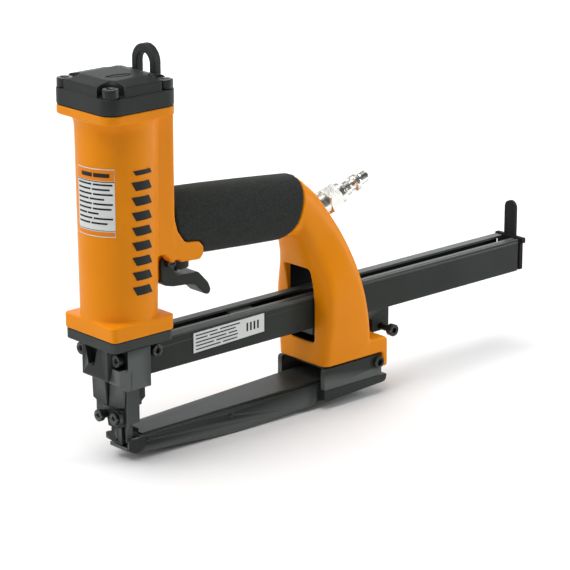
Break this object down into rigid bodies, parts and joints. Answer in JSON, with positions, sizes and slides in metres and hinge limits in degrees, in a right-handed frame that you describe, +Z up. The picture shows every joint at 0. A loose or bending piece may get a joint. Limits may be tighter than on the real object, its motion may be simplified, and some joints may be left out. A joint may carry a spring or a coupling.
{
  "type": "pneumatic plier stapler",
  "caption": "Air-powered stapling plier: barrel with a capped head, foam grip, trigger, arch with an air plug, long staple magazine and a hinged clincher arm below.",
  "frame": {"origin": "middle of the bounding box's base, in the plane that halves the tool", "axes": "+Z up along the barrel, +X from the nose to the rear, so +Y is across"},
  "size_m": [0.3836, 0.0576, 0.2629],
  "materials": {
    "body_casting": "die-cast alloy under satin orange enamel",
    "arch_casting": "die-cast alloy under satin orange enamel",
    "cylinder_cap": "die-cast alloy, fine-textured black",
    "cap_gasket": "matte",
    "hanging_loop": "die-cast alloy, fine-textured black",
    "cylinder_sleeve": "honed",
    "bumper": "matte",
    "piston": "machined",
    "piston_ring": "matte",
    "driver_blade": "ground",
    "head_valve": "machined",
    "grip_sleeve": "foam, fine matte grain",
    "trigger": "satin black",
    "trigger_pin": "bright",
    "trigger_valve_body": "satin black",
    "valve_stem": "bright",
    "air_bushing": "plated",
    "air_plug": "warm nickel plate",
    "nose_mount_plate": "satin black",
    "nose_housing": "satin black",
    "driver_guide": "satin black oxide",
    "nose_cheek_left": "satin black oxide",
    "nose_cheek_right": "satin black oxide",
    "nose_foot": "satin black oxide",
    "magazine_channel": "satin black",
    "staple_rail": "bright",
    "staple_strip": "galvanised",
    "pusher": "satin black oxide",
    "pusher_rod": "bright",
    "magazine_end_cap": "satin black",
    "magazine_hanger": "satin black",
    "hanger_pin": "satin black oxide",
    "clincher_arm": "satin black",
    "anvil": "ground",
    "arm_pin_1": "dark",
    "arm_pin_2": "dark",
    "pivot_bracket": "satin black",
    "arm_pivot_bolt": "satin black oxide",
    "barrel_label": "satin film",
    "magazine_label": "satin film",
    "cap_screw_1": "black oxide",
    "cap_screw_2": "black oxide",
    "cap_screw_3": "black oxide",
    "cap_screw_4": "black oxide",
    "nose_screw_upper_1": "black oxide",
    "nose_screw_lower_1": "black oxide",
    "magazine_screw_1": "black oxide",
    "nose_screw_upper_2": "black oxide",
    "nose_screw_lower_2": "black oxide",
    "magazine_screw_2": "black oxide"
  },
  "bodies": {
    "frame": {"body_casting": "body_casting", "arch_casting": "arch_casting", "cylinder_cap": "cylinder_cap", "cap_gasket": "cap_gasket", "hanging_loop": "hanging_loop", "cylinder_sleeve": "cylinder_sleeve", "bumper": "bumper", "grip_sleeve": "grip_sleeve", "trigger_pin": "trigger_pin", "trigger_valve_body": "trigger_valve_body", "air_bushing": "air_bushing", "air_plug": "air_plug", "nose_mount_plate": "nose_mount_plate", "nose_housing": "nose_housing", "driver_guide": "driver_guide", "nose_cheek_left": "nose_cheek_left", "nose_cheek_right": "nose_cheek_right", "nose_foot": "nose_foot", "magazine_channel": "magazine_channel", "magazine_hanger": "magazine_hanger", "hanger_pin": "hanger_pin", "arm_pivot_bolt": "arm_pivot_bolt", "barrel_label": "barrel_label", "magazine_label": "magazine_label", "cap_screw_1": "cap_screw_1", "cap_screw_2": "cap_screw_2", "cap_screw_3": "cap_screw_3", "cap_screw_4": "cap_screw_4", "nose_screw_upper_1": "nose_screw_upper_1", "nose_screw_lower_1": "nose_screw_lower_1", "magazine_screw_1": "magazine_screw_1", "nose_screw_upper_2": "nose_screw_upper_2", "nose_screw_lower_2": "nose_screw_lower_2", "magazine_screw_2": "magazine_screw_2"},
    "trigger": {"trigger": "trigger"},
    "valve_stem": {"valve_stem": "valve_stem"},
    "piston": {"piston": "piston", "piston_ring": "piston_ring", "driver_blade": "driver_blade"},
    "head_valve": {"head_valve": "head_valve"},
    "magazine_slide": {"staple_rail": "staple_rail", "staple_strip": "staple_strip", "pusher_rod": "pusher_rod", "magazine_end_cap": "magazine_end_cap"},
    "pusher": {"pusher": "pusher"},
    "clincher": {"clincher_arm": "clincher_arm", "anvil": "anvil", "arm_pin_1": "arm_pin_1", "arm_pin_2": "arm_pin_2", "pivot_bracket": "pivot_bracket"}
  },
  "joints": [
    {"name": "trigger_pull", "type": "hinge", "parent": "frame", "child": "trigger", "pos_m": [-0.1304, 0, 0.1231], "axis": [0, -1, 0], "range_deg": [0, 8], "stiffness_Nm_per_rad": 1, "springref_deg": -6.88},
    {"name": "valve_lift", "type": "slide", "parent": "frame", "child": "valve_stem", "axis": [0, 0, 1], "range_m": [0, 0.002]},
    {"name": "piston_stroke", "type": "slide", "parent": "frame", "child": "piston", "axis": [0, 0, -1], "range_m": [0, 0.065], "stiffness_N_per_m": 80, "springref_m": -0.05},
    {"name": "head_valve_lift", "type": "slide", "parent": "frame", "child": "head_valve", "axis": [0, 0, 1], "range_m": [0, 0.004], "stiffness_N_per_m": 600, "springref_m": -0.003},
    {"name": "magazine_draw", "type": "slide", "parent": "frame", "child": "magazine_slide", "axis": [1, 0, 0], "range_m": [0, 0.12]},
    {"name": "pusher_travel", "type": "slide", "parent": "magazine_slide", "child": "pusher", "axis": [1, 0, 0], "range_m": [0, 0.235], "stiffness_N_per_m": 15, "springref_m": -0.25},
    {"name": "arm_open", "type": "hinge", "parent": "frame", "child": "clincher", "pos_m": [0.0378, 0, 0.0232], "axis": [0, -1, 0], "range_deg": [0, 6], "stiffness_Nm_per_rad": 12, "springref_deg": -14.32}
  ],
  "couplings": [
    {"joint": "valve_lift", "follows": "trigger_pull", "m_per_rad": 0.0134}
  ]
}
